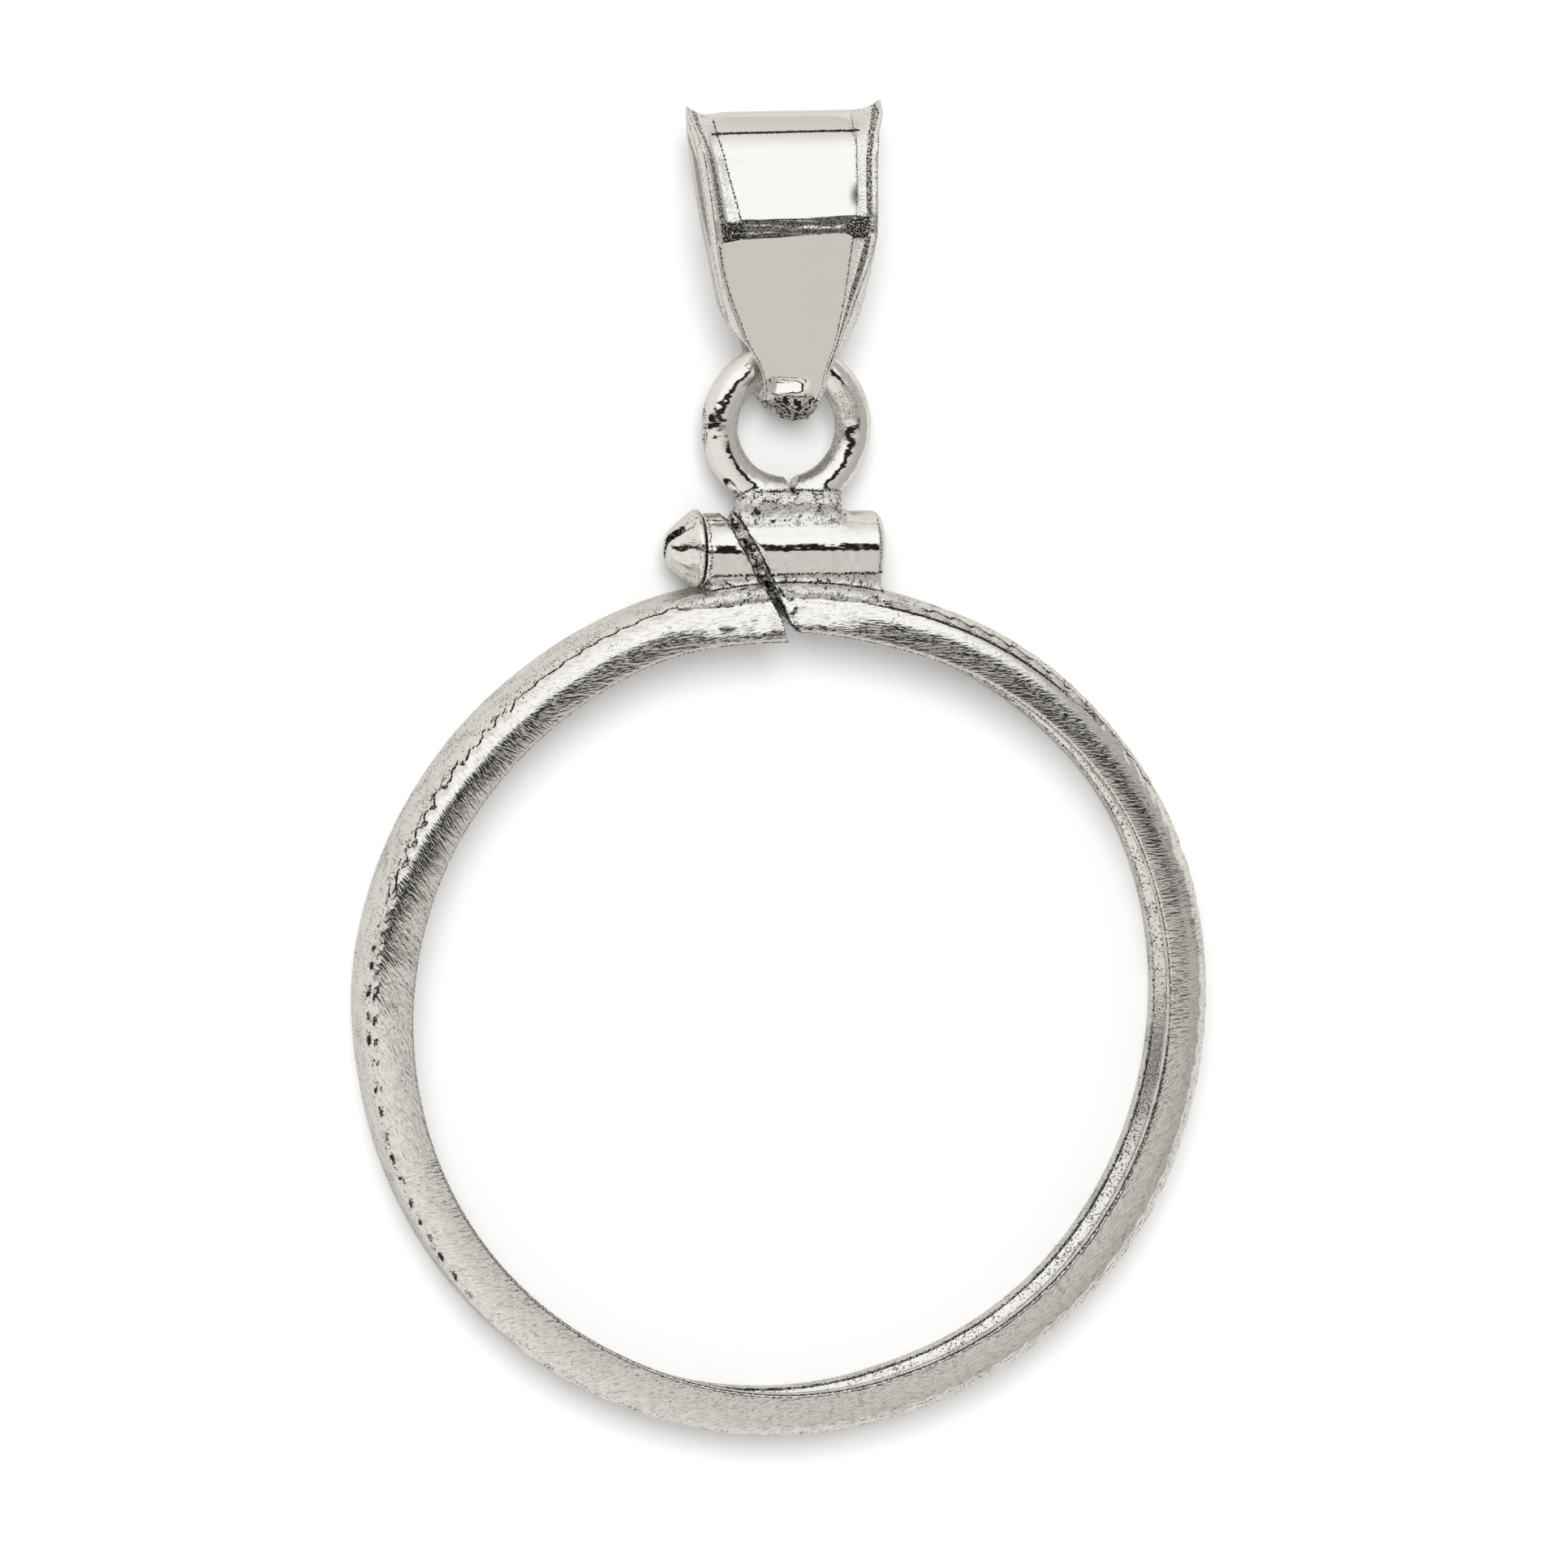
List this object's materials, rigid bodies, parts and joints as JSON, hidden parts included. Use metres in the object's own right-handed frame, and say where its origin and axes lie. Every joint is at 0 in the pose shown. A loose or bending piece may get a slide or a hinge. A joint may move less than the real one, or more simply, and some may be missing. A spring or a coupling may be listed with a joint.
{
  "type": "screw-top coin bezel pendant",
  "caption": "Round channel ring that grips a coin, slit under a barrel with a closing screw, with a wire eye and a tapered folded bail for a chain.",
  "frame": {"origin": "centre of the channel ring's back face, on the surface that the object lies on", "axes": "+Z is the ring's axis, out of the front face and up; +Y points to the barrel, the eye and the bail; +X points to the barrel's closed end"},
  "size_m": [0.026, 0.0403, 0.004],
  "materials": {
    "bezel_silver": "sterling silver, satin, with fine scratches",
    "screw_silver": "sterling silver, polished, with fine scratches",
    "bail_silver": "sterling silver, polished"
  },
  "bodies": {
    "bezel": {"bezel": "bezel_silver"},
    "screw": {"screw": "screw_silver"},
    "bail": {"bail": "bail_silver"}
  },
  "joints": [
    {"name": "bail_swing", "type": "hinge", "parent": "bezel", "child": "bail", "pos_m": [0.00003, 0.01969, 0.0015], "axis": [1, 0, 0], "range_deg": [-97, 83]},
    {"name": "screw_withdraw", "type": "slide", "parent": "bezel", "child": "screw", "axis": [-1, 0, 0], "range_m": [0, 0.0043]}
  ]
}
